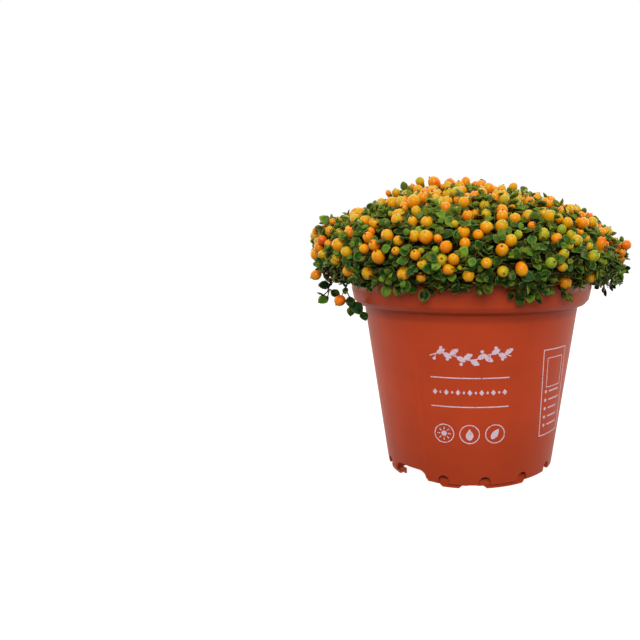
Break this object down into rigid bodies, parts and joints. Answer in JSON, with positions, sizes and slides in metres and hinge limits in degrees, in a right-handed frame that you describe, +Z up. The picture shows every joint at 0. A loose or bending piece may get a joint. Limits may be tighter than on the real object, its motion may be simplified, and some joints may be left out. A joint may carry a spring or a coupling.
{
  "type": "coral bead plant in a pot",
  "caption": "Low creeping plant with small round leaves and bead-like orange berries, spilling over the rim of a tapered terracotta-coloured plastic pot.",
  "frame": {"origin": "centre of the pot's base, on the surface that the pot stands on", "axes": "+Z up along the pot's axis, -Y towards the front of the pot, +X to the right as seen from the front"},
  "size_m": [0.1562, 0.1582, 0.1436],
  "materials": {
    "pot_plastic": "satin",
    "peat_soil": "matte",
    "foliage": "satin"
  },
  "bodies": {
    "root": {"pot": "pot_plastic", "soil": "peat_soil", "leaf_mat": "foliage", "trailing_stem_1": "foliage", "trailing_stem_2": "foliage", "trailing_stem_3": "foliage", "trailing_stem_4": "foliage", "trailing_stem_5": "foliage", "trailing_stem_6": "foliage", "trailing_stem_7": "foliage", "trailing_stem_8": "foliage"}
  },
  "joints": []
}
